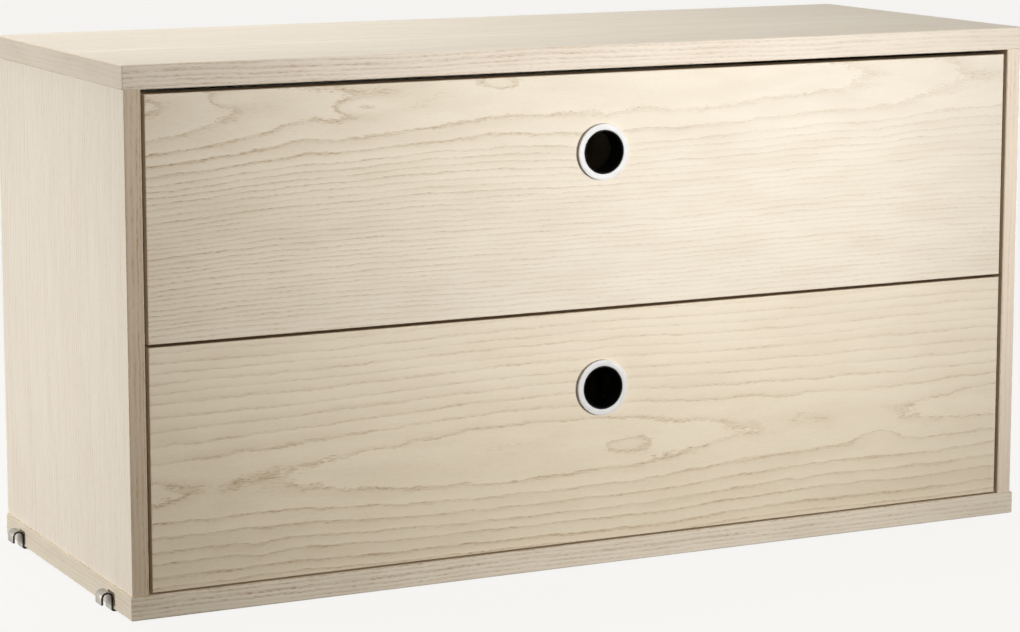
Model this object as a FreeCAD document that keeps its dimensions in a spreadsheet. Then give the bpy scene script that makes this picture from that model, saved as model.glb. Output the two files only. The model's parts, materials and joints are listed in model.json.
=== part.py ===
"""Wall shelving unit with two drawers, hung on four bent-steel hooks.

Millimetres. +X is to the right, the drawers open towards -Y and +Z is up. The origin is the
centre of the footprint, level with the underside of the hooks' feet.
"""

import FreeCAD, Part
import math
import os

import Sketcher
from FreeCAD import Vector

SIZES = {
    # case
    "case_width": "780",
    "case_depth": "300",
    "case_height": "408",
    "top_thick": "18",
    "base_thick": "18",
    "side_thick": "13",
    "side_set_in": "1.5",
    "side_set_back": "1.5",
    "panel_arris": "0.7",
    # back panel, let into a rebate of all four panels
    "back_thick": "5",
    "back_lap": "6.5",
    "back_clear": "0.3",
    "back_set_in": "1.5",
    # loose beech tongues glued between the sides and the top and base
    "tongue_thick": "4",
    "tongue_width": "16",
    "tongue_length": "210",
    "tongue_inset": "40",
    "tongue_clear": "0.05",
    "tongue_end_clear": "0.5",
    # drawer fronts
    "front_thick": "16",
    "front_side_gap": "2.7",
    "front_low_gap": "0.8",
    "front_middle_gap": "2",
    "front_top_gap": "3.6",
    "front_recess": "1",
    "front_round": "1",
    # drawer boxes, housed into the fronts
    "box_board": "12",
    "box_lift": "14",
    "box_top_drop": "29",
    "box_rear_gap": "13",
    "housing_deep": "4",
    "housing_clear": "0.1",
    "bottom_thick": "4",
    "bottom_lift": "10",
    "groove_deep": "6",
    "groove_end_clear": "0.5",
    # finger pull: a white ring on the face and a black sleeve through the front
    "grip_drop": "61.1",
    "ring_outer": "44",
    "ring_inner": "34.2",
    "ring_proud": "2.5",
    "ring_sunk": "2",
    "sleeve_outer": "34",
    "sleeve_wall": "1",
    "sleeve_sunk": "0.1",
    "sleeve_flange": "46",
    "sleeve_flange_thick": "1.6",
    "grip_clear": "0.1",
    # hooks, bent from steel strip
    "hook_thick": "1.8",
    "hook_width": "13",
    "hook_gap": "6",
    "hook_bend": "0.6",
    "hook_arch_top": "13.4",
    "hook_lip_low": "3.6",
    "hook_foot": "34",
    "hook_front_inset": "40",
    "hook_rear_inset": "33",
    "hook_screw_place": "20",
    "hook_screw_length": "14",
    # countersunk screws
    "screw_shank": "1.75",
    "screw_head": "3.5",
    "screw_clear": "0.1",
    # telescopic ball runners
    "runner_space": "12.7",
    "runner_height": "45",
    "runner_steel": "1",
    "runner_front_gap": "2.5",
    "runner_rear_gap": "9.5",
    "web_gap": "1.6",
    "outer_ball": "3.6",
    "inner_ball": "3.2",
    "ball_clear": "0.15",
    "outer_race_place": "5",
    "inner_race_place": "9",
    "race_width": "2.8",
    "race_slope": "0.8",
    "race_deep": "0.5",
    "race_step": "0.8",
    "case_flange_reach": "11.6",
    "middle_flange_reach": "10.9",
    "drawer_flange_start": "5.6",
    # ball cages, folded from thin strip
    "cage_thick": "0.6",
    "cage_web_gap": "0.5",
    "outer_cage_reach": "8.4",
    "inner_cage_reach": "11",
    "cage_length": "110",
    "cage_window_clear": "0.1",
    "ball_pitch": "36",
}

PLACES = {
    # levels of the case
    "base_low": "=hook_thick",
    "base_top": "=base_low + base_thick",
    "inner_height": "=case_height - base_thick - top_thick",
    "top_low": "=base_top + inner_height",
    # plan of the case
    "case_left": "=-case_width / 2",
    "case_front": "=-case_depth / 2",
    "case_rear": "=case_depth / 2",
    "side_front": "=case_front + side_set_back",
    "side_depth": "=case_depth - side_set_back",
    "left_side_left": "=case_left + side_set_in",
    "inner_left": "=left_side_left + side_thick",
    "inner_width": "=-2 * inner_left",
    "inner_right": "=-inner_left",
    # back panel and its rebate, in the panels' own frames
    "back_width": "=inner_width + 2 * (back_lap - back_clear)",
    "back_height": "=inner_height + 2 * (back_lap - back_clear)",
    "back_left": "=-back_width / 2",
    "back_low": "=base_top - back_lap + back_clear",
    "back_front": "=case_rear - back_set_in - back_thick",
    "rebate_deep": "=back_thick + back_set_in + panel_arris",
    "rebate_width": "=inner_width + 2 * back_lap",
    "panel_rebate_left": "=side_set_in + side_thick - back_lap",
    "panel_rebate_front": "=case_depth - back_set_in - back_thick",
    "left_side_rebate": "=side_thick - back_lap",
    "side_rebate_front": "=side_depth - back_set_in - back_thick",
    # grooves of the tongues, in the panels' own frames
    "tongue_groove": "=tongue_thick + 2 * tongue_clear",
    "tongue_groove_long": "=tongue_length + 2 * tongue_end_clear",
    "tongue_groove_deep": "=tongue_width / 2 + tongue_end_clear",
    "side_tongue_left": "=(side_thick - tongue_groove) / 2",
    "panel_tongue_left": "=side_set_in + side_tongue_left",
    "panel_tongue_right": "=case_width - panel_tongue_left - tongue_groove",
    "panel_tongue_front": "=side_set_back + tongue_inset",
    # drawer fronts
    "front_gaps": "=front_low_gap + front_middle_gap + front_top_gap",
    "front_height": "=(inner_height - front_gaps) / 2",
    "front_width": "=inner_width - 2 * front_side_gap",
    "front_left": "=-front_width / 2",
    "front_face": "=side_front + front_recess",
    "front_rear": "=front_face + front_thick",
    "front_back_offset": "=-front_thick",
    "lower_front_low": "=base_top + front_low_gap",
    "upper_front_low": "=lower_front_low + front_height + front_middle_gap",
    # drawer boxes
    "box_width": "=inner_width - 2 * runner_space",
    "box_left": "=-box_width / 2",
    "box_right_board": "=box_left + box_width - box_board",
    "box_inner_width": "=box_width - 2 * box_board",
    "box_inner_left": "=box_left + box_board",
    "box_height": "=front_height - box_lift - box_top_drop",
    "box_rear": "=back_front - box_rear_gap",
    "box_length": "=box_rear - front_rear",
    "box_front": "=front_rear - housing_deep",
    "box_side_length": "=box_length + housing_deep",
    "lower_box_low": "=lower_front_low + box_lift",
    "upper_box_low": "=upper_front_low + box_lift",
    # housings of the box's boards
    "housing_width": "=box_board + housing_clear",
    "housing_left": "=box_left - housing_clear / 2 - front_left",
    "housing_right": "=front_width - housing_left - housing_width",
    "rear_housing_front": "=box_side_length - box_board - housing_clear / 2",
    "rear_housing_inner": "=box_board - housing_deep",
    "box_back_front": "=box_rear - box_board",
    "box_back_width": "=box_inner_width + 2 * housing_deep - housing_clear",
    "box_back_left": "=-box_back_width / 2",
    "box_back_lift": "=bottom_lift + bottom_thick + housing_clear",
    "box_back_height": "=box_height - box_back_lift",
    "lower_box_back_low": "=lower_box_low + box_back_lift",
    "upper_box_back_low": "=upper_box_low + box_back_lift",
    # bottoms and their grooves
    "groove_low": "=bottom_lift - housing_clear / 2",
    "groove_high": "=bottom_thick + housing_clear",
    "front_groove_low": "=box_lift + groove_low",
    "front_groove_left": "=box_inner_left - groove_deep - front_left",
    "front_groove_width": "=box_inner_width + 2 * groove_deep",
    "bottom_tongue": "=groove_deep - groove_end_clear",
    "bottom_width": "=box_inner_width + 2 * bottom_tongue",
    "bottom_left": "=-bottom_width / 2",
    "bottom_front": "=front_rear - bottom_tongue",
    "bottom_depth": "=box_length + bottom_tongue",
    "lower_bottom_low": "=lower_box_low + bottom_lift",
    "upper_bottom_low": "=upper_box_low + bottom_lift",
    # finger pull: radii, and depths behind its own face
    "grip_across": "=front_width / 2",
    "grip_up": "=front_height - grip_drop",
    "lower_grip_level": "=lower_front_low + grip_up",
    "upper_grip_level": "=upper_front_low + grip_up",
    "grip_hole": "=sleeve_outer / 2 + grip_clear",
    "ring_seat": "=ring_outer / 2 + grip_clear",
    "ring_face": "=front_face - ring_proud",
    "ring_outer_radius": "=ring_outer / 2",
    "ring_inner_radius": "=ring_inner / 2",
    "ring_rear": "=ring_proud + ring_sunk",
    "sleeve_face": "=ring_face + sleeve_sunk",
    "sleeve_outer_radius": "=sleeve_outer / 2",
    "sleeve_inner_radius": "=sleeve_outer / 2 - sleeve_wall",
    "sleeve_seat": "=front_rear - sleeve_face",
    "sleeve_rear": "=sleeve_seat + sleeve_flange_thick",
    "sleeve_flange_radius": "=sleeve_flange / 2",
    # hooks and their screws
    "front_hook_place": "=case_front + hook_front_inset",
    "rear_hook_place": "=case_rear - hook_rear_inset - hook_width",
    "hook_screw_hole": "=screw_shank + screw_clear",
    "hook_screw_deep": "=hook_screw_length - hook_thick + screw_clear",
    "hook_screw_left": "=hook_screw_place",
    "hook_screw_right": "=case_width - hook_screw_place",
    "hook_screw_front": "=hook_front_inset + hook_width / 2",
    "hook_screw_rear": "=case_depth - hook_rear_inset - hook_width / 2",
    # runners
    "runner_front": "=front_rear + runner_front_gap",
    "runner_length": "=box_length - runner_front_gap - runner_rear_gap",
    "lower_runner_level": "=lower_box_low + box_height / 2",
    "upper_runner_level": "=upper_box_low + box_height / 2",
    "case_web": "=runner_steel / 2",
    "middle_web": "=case_web + runner_steel + web_gap",
    "drawer_web": "=runner_space - runner_steel / 2",
    "outer_cage_web": "=runner_steel + cage_web_gap + cage_thick / 2",
    "inner_cage_web": "=middle_web + case_web + cage_web_gap + cage_thick / 2",
    "cage_front": "=(runner_length - cage_length) / 2",
    # heights of the rolled steel's middle lines above the runner's own middle
    "case_race": "=runner_height / 2 - runner_steel / 2",
    "case_flange": "=case_race - race_deep",
    "middle_outer_race": "=case_race - runner_steel - outer_ball - 2 * ball_clear",
    "middle_inner_race": "=middle_outer_race + race_step",
    "middle_step_end": "=inner_race_place - race_width / 2 - ball_clear",
    "drawer_race": "=middle_inner_race - runner_steel - inner_ball - 2 * ball_clear",
    "drawer_flange": "=drawer_race + race_deep",
    "outer_ball_level": "=(case_race + middle_outer_race) / 2",
    "inner_ball_level": "=(middle_inner_race + drawer_race) / 2",
}

RIGHT = Vector(1, 0, 0)
UP, DOWN = Vector(0, 0, 1), Vector(0, 0, -1)
TINY = 1e-6

doc = FreeCAD.newDocument("wall_unit")
sheet = doc.addObject("Spreadsheet::Sheet", "sizes")


def fill_sheet():
    """Give every size, and every place worked out from them, a named cell."""
    for row, (name, text) in enumerate({**SIZES, **PLACES}.items(), start=1):
        sheet.set(f"A{row}", name.replace("_", " "))
        sheet.set(f"B{row}", text)
        sheet.setAlias(f"B{row}", name)
    doc.recompute()


def size(name):
    """The value of a named cell; a bare "0" is the origin itself."""
    return 0.0 if name == "0" else float(sheet.get(name))


def bind(thing, field, name):
    """Tie one property or one sketch constraint to a cell of the sheet."""
    thing.setExpression(field, f"sizes.{name}")


# bodies and their sketches

def new_body(label, place):
    """A body whose origin stands at three named places."""
    body = doc.addObject("PartDesign::Body", label)
    body.Label = label
    for axis, name in zip("xyz", place):
        if name != "0":
            bind(body, f"Placement.Base.{axis}", name)
    return body


def sketch_on(body, role, offset=None):
    """Start a sketch on one of the body's own origin planes, or a named distance off it."""
    plane = next(f for f in body.Origin.OriginFeatures if f.Role == role)
    sketch = body.newObject("Sketcher::SketchObject", body.Label + "_sketch")
    sketch.AttachmentSupport = [(plane, "")]
    sketch.MapMode = "FlatFace"
    if offset:
        bind(sketch, "AttachmentOffset.Base.z", offset)
    return sketch


def add_rule(sketch, name, *rule):
    """Add a dimension to the sketch and tie it to a named size."""
    index = sketch.addConstraint(Sketcher.Constraint(*rule, size(name)))
    bind(sketch, f"Constraints[{index}]", name)


def place_point(sketch, edge, point, spot):
    """Hold a point of the sketch at two named distances from its origin."""
    for kind, axis, name in zip(("DistanceX", "DistanceY"), (-2, -1), spot):
        if name == "0":
            sketch.addConstraint(Sketcher.Constraint("PointOnObject", edge, point, axis))
        else:
            add_rule(sketch, name, kind, -1, 1, edge, point)


def add_loop(sketch, spots):
    """Draw a closed loop of straight edges and return the number of its first edge."""
    first = sketch.GeometryCount
    count = len(spots)
    for here, spot in enumerate(spots):
        sketch.addGeometry(Part.LineSegment(spot, spots[(here + 1) % count]), False)
    for here in range(count):
        following = first + (here + 1) % count
        sketch.addConstraint(Sketcher.Constraint("Coincident", first + here, 2, following, 1))
    return first


def add_outline(sketch, points):
    """Draw a closed outline through named points."""
    first = add_loop(sketch, [Vector(size(across), size(up), 0) for across, up in points])
    for here, spot in enumerate(points):
        place_point(sketch, first + here, 1, spot)


def add_rectangle(sketch, corner, width, height):
    """Draw a rectangle from its named lower left corner and its two lengths."""
    low = Vector(size(corner[0]), size(corner[1]), 0)
    across, up = Vector(size(width), 0, 0), Vector(0, size(height), 0)
    first = add_loop(sketch, [low, low + across, low + across + up, low + up])
    for here, direction in enumerate(("Horizontal", "Vertical") * 2):
        sketch.addConstraint(Sketcher.Constraint(direction, first + here))
    place_point(sketch, first, 1, corner)
    add_rule(sketch, width, "DistanceX", first, 1, first, 2)
    add_rule(sketch, height, "DistanceY", first + 1, 1, first + 1, 2)


def add_circles(sketch, radius, centres):
    for spot in centres:
        centre = Vector(size(spot[0]), size(spot[1]), 0)
        edge = sketch.addGeometry(Part.Circle(centre, UP, size(radius)), False)
        place_point(sketch, edge, 3, spot)
        add_rule(sketch, radius, "Radius", edge)


def pad(body, sketch, length):
    made = body.newObject("PartDesign::Pad", body.Label + "_pad")
    made.Profile = sketch
    bind(made, "Length", length)
    doc.recompute()
    return made


def pocket(body, sketch, depth, turned):
    """Cut the sketch into the body, and stop if it cuts nothing."""
    before = body.Shape.Volume
    made = body.newObject("PartDesign::Pocket", body.Label + "_pocket")
    made.Profile = sketch
    bind(made, "Length", depth)
    made.Reversed = turned
    doc.recompute()
    if body.Shape.Volume >= before:
        raise ValueError(f"a pocket of {body.Label} cuts nothing")


def revolve(body, sketch):
    """Turn the sketch a full circle about the body's own Y axis."""
    made = body.newObject("PartDesign::Revolution", body.Label + "_turned")
    made.Profile = sketch
    made.ReferenceAxis = (sketch, ["V_Axis"])
    made.Angle = 360
    doc.recompute()


def dress_edges(body, base, kind, field, radius, chosen):
    """Round or chamfer the chosen edges of the body."""
    edges = enumerate(base.Shape.Edges, start=1)
    made = body.newObject(f"PartDesign::{kind}", body.Label + "_edges")
    made.Base = (base, [f"Edge{index}" for index, edge in edges if chosen(edge)])
    bind(made, field, radius)
    doc.recompute()


def board(label, place, lengths):
    """A flat board from its lower left front corner."""
    body = new_body(label, place)
    outline = sketch_on(body, "XY_Plane")
    add_rectangle(outline, ("0", "0"), lengths[0], lengths[1])
    return body, pad(body, outline, lengths[2])


def holes(body, role, radius, centres, depth, turned=False, offset=None):
    sketch = sketch_on(body, role, offset)
    add_circles(sketch, radius, centres)
    pocket(body, sketch, depth, turned)


def slot(body, role, corner, lengths, depth, turned=False, offset=None):
    sketch = sketch_on(body, role, offset)
    add_rectangle(sketch, corner, *lengths)
    pocket(body, sketch, depth, turned)


# shapes worked out with plain solid geometry

def solid(label, shape):
    """Keep a worked-out shape in the document under its own name."""
    made = doc.addObject("Part::Feature", label)
    made.Label = label
    made.Shape = shape


def across_case(shape):
    """The same piece on the right of the case."""
    return shape.mirror(Vector(0, 0, 0), RIGHT)


def rounded_outline(points, radii):
    """A closed wire through the points, each corner turned by an arc of its own radius."""
    starts, middles, ends = [], [], []
    count = len(points)
    for here, corner in enumerate(points):
        inward = (corner - points[here - 1]).normalize()
        outward = (points[(here + 1) % count] - corner).normalize()
        half_turn = inward.getAngle(outward) / 2
        reach = radii[here] * math.tan(half_turn)
        across = (outward - inward).normalize()
        depth = radii[here] / math.cos(half_turn) - radii[here]
        starts.append(corner - inward * reach)
        middles.append(corner + across * depth)
        ends.append(corner + outward * reach)
    edges = []
    for here in range(count):
        if radii[here] > TINY:
            edges.append(Part.Arc(starts[here], middles[here], ends[here]).toShape())
        following = starts[(here + 1) % count]
        if (following - ends[here]).Length > TINY:
            edges.append(Part.LineSegment(ends[here], following).toShape())
    return Part.Wire(edges)


def bent_strip(line, radii, thick):
    """The section of a strip bent along a middle line, given across and up."""
    line = [Vector(across, 0, up) for across, up in line]
    ways = [(after - before).normalize() for before, after in zip(line, line[1:])]
    sides = {1: [], -1: []}
    bends = {1: [], -1: []}
    for spot, radius, before, after in zip(line, radii, ways[:1] + ways, ways + ways[-1:]):
        normals = [Vector(-way.z, 0, way.x) for way in (before, after)]
        miter = (normals[0] + normals[1]) / (1 + normals[0].dot(normals[1]))
        turn = math.copysign(1, before.x * after.z - before.z * after.x)
        for side in (1, -1):
            sides[side].append(spot + miter * (side * thick / 2))
            bends[side].append(radius - side * turn * thick / 2 if radius else 0)
    return Part.Face(rounded_outline(sides[1] + sides[-1][::-1], bends[1] + bends[-1][::-1]))


# the case

def front_upright(edge):
    """Tell whether an edge is one of a board's two front upright corners."""
    box = edge.BoundBox
    return box.ZLength > TINY and box.YMax < TINY


def make_panel(label, level, thick, turned, offset):
    """The top or the base, rebated and grooved in the face towards the drawers."""
    panel, block = board(label, ("case_left", "case_front", level), ("case_width", "case_depth", thick))
    dress_edges(panel, block, "Chamfer", "Size", "panel_arris", lambda edge: True)
    slot(
        panel, "XY_Plane", ("panel_rebate_left", "panel_rebate_front"),
        ("rebate_width", "rebate_deep"), "back_lap", turned, offset,
    )
    for left in ("panel_tongue_left", "panel_tongue_right"):
        corner, lengths = (left, "panel_tongue_front"), ("tongue_groove", "tongue_groove_long")
        slot(panel, "XY_Plane", corner, lengths, "tongue_groove_deep", turned, offset)
    return panel


def make_side(label, across, rebate):
    """A side panel, rebated for the back and grooved at both ends for its tongues."""
    side, block = board(
        label, (across, "side_front", "base_top"), ("side_thick", "side_depth", "inner_height"),
    )
    dress_edges(side, block, "Chamfer", "Size", "panel_arris", front_upright)
    corner = (rebate, "side_rebate_front")
    slot(side, "XY_Plane", corner, ("back_lap", "rebate_deep"), "inner_height", True)
    corner, lengths = ("side_tongue_left", "tongue_inset"), ("tongue_groove", "tongue_groove_long")
    slot(side, "XY_Plane", corner, lengths, "tongue_groove_deep", True)
    slot(side, "XY_Plane", corner, lengths, "tongue_groove_deep", False, "inner_height")


def make_tongues():
    """Loose tongues, half in the top or base and half in a side panel's end."""
    width = size("tongue_width")
    tongue = Part.makeBox(size("tongue_thick"), size("tongue_length"), width)
    across = size("left_side_left") + size("side_tongue_left") + size("tongue_clear")
    along = size("side_front") + size("tongue_inset") + size("tongue_end_clear")
    tongues = []
    for joint in ("base_top", "top_low"):
        left = tongue.translated(Vector(across, along, size(joint) - width / 2))
        tongues += [left, across_case(left)]
    solid("carcass_tongues", Part.makeCompound(tongues))


def make_case():
    make_panel("top_panel", "top_low", "top_thick", True, None)
    base = make_panel("bottom_panel", "base_low", "base_thick", False, "base_thick")
    spots = [
        (across, along)
        for across in ("hook_screw_left", "hook_screw_right")
        for along in ("hook_screw_front", "hook_screw_rear")
    ]
    holes(base, "XY_Plane", "hook_screw_hole", spots, "hook_screw_deep", True)
    make_side("left_side_panel", "left_side_left", "left_side_rebate")
    make_side("right_side_panel", "inner_right", "0")
    board(
        "back_panel", ("back_left", "back_front", "back_low"),
        ("back_width", "back_thick", "back_height"),
    )
    make_tongues()


# the hooks

def make_hooks():
    """Hooks whose feet are screwed under the base and whose arches hang over a rod."""
    thick = size("hook_thick")
    leg = size("case_left") - thick / 2
    lip = leg - size("hook_gap") - thick
    low = size("base_low") - thick / 2
    arch = size("base_low") + size("hook_arch_top") - thick / 2
    line = [
        (size("case_left") + size("hook_foot"), low),
        (leg, low),
        (leg, arch),
        (lip, arch),
        (lip, size("base_low") + size("hook_lip_low")),
    ]
    arch_radius = (leg - lip) / 2
    radii = [0, size("hook_bend") + thick / 2, arch_radius, arch_radius, 0]
    strip = bent_strip(line, radii, thick).extrude(Vector(0, size("hook_width"), 0))
    clear, length = size("screw_clear"), size("hook_screw_length")
    shank, head = size("screw_shank"), size("screw_head")
    countersink = Part.makeCone(head + clear, shank + clear, thick)
    screw = Part.makeCone(head, shank, thick).fuse(Part.makeCylinder(shank, length)).removeSplitter()
    screws = []
    for name in ("front", "rear"):
        front = size(f"{name}_hook_place")
        middle = front + size("hook_width") / 2
        spot = Vector(size("case_left") + size("hook_screw_place"), middle, size("base_low") - thick)
        left = strip.translated(Vector(0, front, 0)).cut(countersink.translated(spot))
        solid(f"{name}_left_hook", left)
        solid(f"{name}_right_hook", across_case(left))
        screws += [screw.translated(spot), screw.translated(Vector(-spot.x, spot.y, spot.z))]
    solid("hook_screws", Part.makeCompound(screws))


# the telescopic runners, drawn from the side panel's face towards the drawer

def runner_member(upper):
    """Extrude a member from the upper half of its middle line, which starts at the web."""
    line = [(across, -up) for across, up in upper[::-1]] + upper
    section = bent_strip(line, [0] * len(line), size("runner_steel"))
    return section.extrude(Vector(0, size("runner_length"), 0))


def case_member():
    web, race, flange = size("case_web"), size("case_race"), size("case_flange")
    place, half, slope = size("outer_race_place"), size("race_width") / 2, size("race_slope")
    upper = [
        (web, flange),
        (place - half - slope, flange),
        (place - half, race),
        (place + half, race),
        (place + half + slope, flange),
        (size("case_flange_reach"), flange),
    ]
    return runner_member(upper)


def middle_member():
    outer, inner, step = (
        size(name) for name in ("middle_outer_race", "middle_inner_race", "middle_step_end")
    )
    upper = [
        (size("middle_web"), outer),
        (step - size("race_slope"), outer),
        (step, inner),
        (size("middle_flange_reach"), inner),
    ]
    return runner_member(upper)


def drawer_member():
    race, flange = size("drawer_race"), size("drawer_flange")
    groove_end = size("inner_race_place") - size("race_width") / 2
    upper = [
        (size("drawer_web"), race),
        (groove_end, race),
        (groove_end - size("race_slope"), flange),
        (size("drawer_flange_start"), flange),
    ]
    return runner_member(upper)


def ball_line():
    """Places of the balls along the runner, either side of its middle."""
    middle, pitch = size("runner_length") / 2, size("ball_pitch")
    return [middle - pitch, middle, middle + pitch]


def ball_cage(name):
    """A cage folded over both rows of balls, with a window round each ball."""
    thick, level = size("cage_thick"), size(f"{name}_ball_level")
    web, reach = size(f"{name}_cage_web"), size(f"{name}_cage_reach")
    line = [(reach, -level), (web, -level), (web, level), (reach, level)]
    section = bent_strip(line, [0] * len(line), thick)
    cage = section.extrude(Vector(0, size("cage_length"), 0))
    cage.translate(Vector(0, size("cage_front"), 0))
    room = size(f"{name}_ball") + 2 * size("cage_window_clear")
    place = size(f"{name}_race_place")
    windows = [
        Part.makeBox(room, room, 4 * level, Vector(place - room / 2, along - room / 2, -2 * level))
        for along in ball_line()
    ]
    return cage.cut(windows)


def small_ball(diameter):
    """A ball cut to twenty flats, whose corners are two poles and two rings of five."""
    radius = diameter / 2
    level = radius / math.sqrt(5)
    rings = []
    for height, start in ((level, 0), (-level, math.pi / 5)):
        turns = [start + 2 * math.pi * i / 5 for i in range(5)]
        rings.append([Vector(2 * level * math.cos(t), 2 * level * math.sin(t), height) for t in turns])
    flats = []
    for i in range(5):
        upper, lower = ([ring[i], ring[(i + 1) % 5]] for ring in rings)
        flats += [
            [UP * radius, upper[0], upper[1]],
            [upper[0], lower[0], upper[1]],
            [lower[0], lower[1], upper[1]],
            [DOWN * radius, lower[1], lower[0]],
        ]
    faces = [Part.Face(Part.makePolygon(corners + corners[:1])) for corners in flats]
    return Part.Solid(Part.Shell(faces))


def ball_rows(name):
    ball, place, level = size(f"{name}_ball"), size(f"{name}_race_place"), size(f"{name}_ball_level")
    spots = [Vector(place, along, up) for along in ball_line() for up in (level, -level)]
    return [small_ball(ball).translated(spot) for spot in spots]


def make_runners():
    members = {
        "case_member": case_member(),
        "middle_member": middle_member(),
        "drawer_member": drawer_member(),
        "outer_cage": ball_cage("outer"),
        "inner_cage": ball_cage("inner"),
    }
    for drawer in ("lower", "upper"):
        corner = Vector(size("inner_left"), size("runner_front"), size(f"{drawer}_runner_level"))
        for name, shape in members.items():
            left = shape.translated(corner)
            solid(f"{drawer}_left_{name}", left)
            solid(f"{drawer}_right_{name}", across_case(left))
        for name in ("outer", "inner"):
            left = Part.makeCompound(ball_rows(name)).translated(corner)
            balls = left.Solids + across_case(left).Solids
            solid(f"{drawer}_{name}_balls", Part.makeCompound(balls))


# the drawers

def front_face_edge(edge):
    """Tell whether an edge runs round a drawer front's outer face."""
    return edge.BoundBox.YMax < TINY


def make_front(drawer):
    """A drawer front, housed for the box at its back and bored for the finger pull."""
    front, block = board(
        f"{drawer}_drawer_front", ("front_left", "front_face", f"{drawer}_front_low"),
        ("front_width", "front_thick", "front_height"),
    )
    dress_edges(front, block, "Fillet", "Radius", "front_round", front_face_edge)
    back = "front_back_offset"
    slot(
        front, "XZ_Plane", ("front_groove_left", "front_groove_low"),
        ("front_groove_width", "groove_high"), "groove_deep", True, back,
    )
    for left in ("housing_left", "housing_right"):
        lengths = ("housing_width", "box_height")
        slot(front, "XZ_Plane", (left, "box_lift"), lengths, "housing_deep", True, back)
    centre = [("grip_across", "grip_up")]
    holes(front, "XZ_Plane", "grip_hole", centre, "front_thick")
    holes(front, "XZ_Plane", "ring_seat", centre, "ring_sunk")


def make_box_side(drawer, side):
    """One side of a drawer box: housed for the back and grooved for the bottom."""
    is_left = side == "left"
    across = "box_left" if is_left else "box_right_board"
    part, block = board(
        f"{drawer}_drawer_{side}_side", (across, "box_front", f"{drawer}_box_low"),
        ("box_board", "box_side_length", "box_height"),
    )
    inner = "box_board" if is_left else None
    lengths = ("box_side_length", "groove_high")
    slot(part, "YZ_Plane", ("0", "groove_low"), lengths, "groove_deep", not is_left, inner)
    lengths = ("housing_width", "box_height")
    corner = ("rear_housing_front", "0")
    slot(part, "YZ_Plane", corner, lengths, "housing_deep", not is_left, inner)


def make_grip(drawer):
    """The ring on the face, and the sleeve clipped through it from behind."""
    level = f"{drawer}_grip_level"
    ring = new_body(f"{drawer}_grip_ring", ("0", "ring_face", level))
    outline = sketch_on(ring, "XY_Plane")
    add_outline(outline, [
        ("ring_inner_radius", "0"), ("ring_outer_radius", "0"),
        ("ring_outer_radius", "ring_rear"), ("ring_inner_radius", "ring_rear"),
    ])
    revolve(ring, outline)
    sleeve = new_body(f"{drawer}_grip_sleeve", ("0", "sleeve_face", level))
    outline = sketch_on(sleeve, "XY_Plane")
    add_outline(outline, [
        ("sleeve_inner_radius", "0"), ("sleeve_outer_radius", "0"),
        ("sleeve_outer_radius", "sleeve_seat"), ("sleeve_flange_radius", "sleeve_seat"),
        ("sleeve_flange_radius", "sleeve_rear"), ("sleeve_inner_radius", "sleeve_rear"),
    ])
    revolve(sleeve, outline)


def make_drawer(drawer):
    make_front(drawer)
    make_box_side(drawer, "left")
    make_box_side(drawer, "right")
    board(
        f"{drawer}_drawer_back", ("box_back_left", "box_back_front", f"{drawer}_box_back_low"),
        ("box_back_width", "box_board", "box_back_height"),
    )
    board(
        f"{drawer}_drawer_bottom", ("bottom_left", "bottom_front", f"{drawer}_bottom_low"),
        ("bottom_width", "bottom_depth", "bottom_thick"),
    )
    make_grip(drawer)


# checks and export

def pieces():
    """Every finished piece: the bodies, and the features that stand by themselves."""
    return [thing for thing in doc.Objects if thing.TypeId in ("PartDesign::Body", "Part::Feature")]


def check_document():
    doc.recompute()
    for thing in doc.Objects:
        if "Invalid" in thing.State or "Error" in thing.State:
            raise ValueError(f"{thing.Label} did not compute")
    for piece in pieces():
        if piece.Shape.isNull() or not piece.Shape.isValid():
            raise ValueError(f"{piece.Label} has no valid shape")


def write_pieces():
    os.makedirs("parts", exist_ok=True)
    for piece in pieces():
        piece.Shape.exportStep(f"parts/{piece.Label}.step")


fill_sheet()
make_case()
make_hooks()
make_runners()
for drawer_name in ("lower", "upper"):
    make_drawer(drawer_name)
check_document()
write_pieces()
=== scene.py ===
"""Wall shelving unit with two drawers in pale ash veneer, white finger rings and steel hooks."""

import json
import math

import bmesh
import bpy
from mathutils import Matrix, Vector


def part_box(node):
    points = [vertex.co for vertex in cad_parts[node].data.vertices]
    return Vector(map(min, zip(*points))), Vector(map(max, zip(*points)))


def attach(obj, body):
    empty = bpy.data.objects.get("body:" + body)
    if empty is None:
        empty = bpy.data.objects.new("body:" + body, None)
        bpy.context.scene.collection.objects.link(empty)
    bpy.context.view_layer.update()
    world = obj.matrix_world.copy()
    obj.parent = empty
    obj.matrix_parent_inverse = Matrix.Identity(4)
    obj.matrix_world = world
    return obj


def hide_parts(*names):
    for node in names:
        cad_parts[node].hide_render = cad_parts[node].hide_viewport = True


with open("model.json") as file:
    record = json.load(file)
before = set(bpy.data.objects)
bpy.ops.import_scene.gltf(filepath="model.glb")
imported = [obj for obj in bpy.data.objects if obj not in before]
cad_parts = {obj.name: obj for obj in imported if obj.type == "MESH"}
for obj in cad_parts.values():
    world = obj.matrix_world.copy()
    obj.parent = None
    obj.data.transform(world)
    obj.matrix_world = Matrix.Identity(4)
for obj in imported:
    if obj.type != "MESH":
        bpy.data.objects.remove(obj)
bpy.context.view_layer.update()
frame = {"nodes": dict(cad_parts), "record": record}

MM = 0.001
DRAWERS = ("lower", "upper")
SIDES = ("left", "right")
X, Y, Z = Vector((1, 0, 0)), Vector((0, 1, 0)), Vector((0, 0, 1))


def box_of(node):
    """A node's lowest and highest corner, in millimetres."""
    return [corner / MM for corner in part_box(node)]


def middle_of(node):
    """The middle of a node's box, in millimetres."""
    low, high = box_of(node)
    return (low + high) / 2


# colours and nodes

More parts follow.
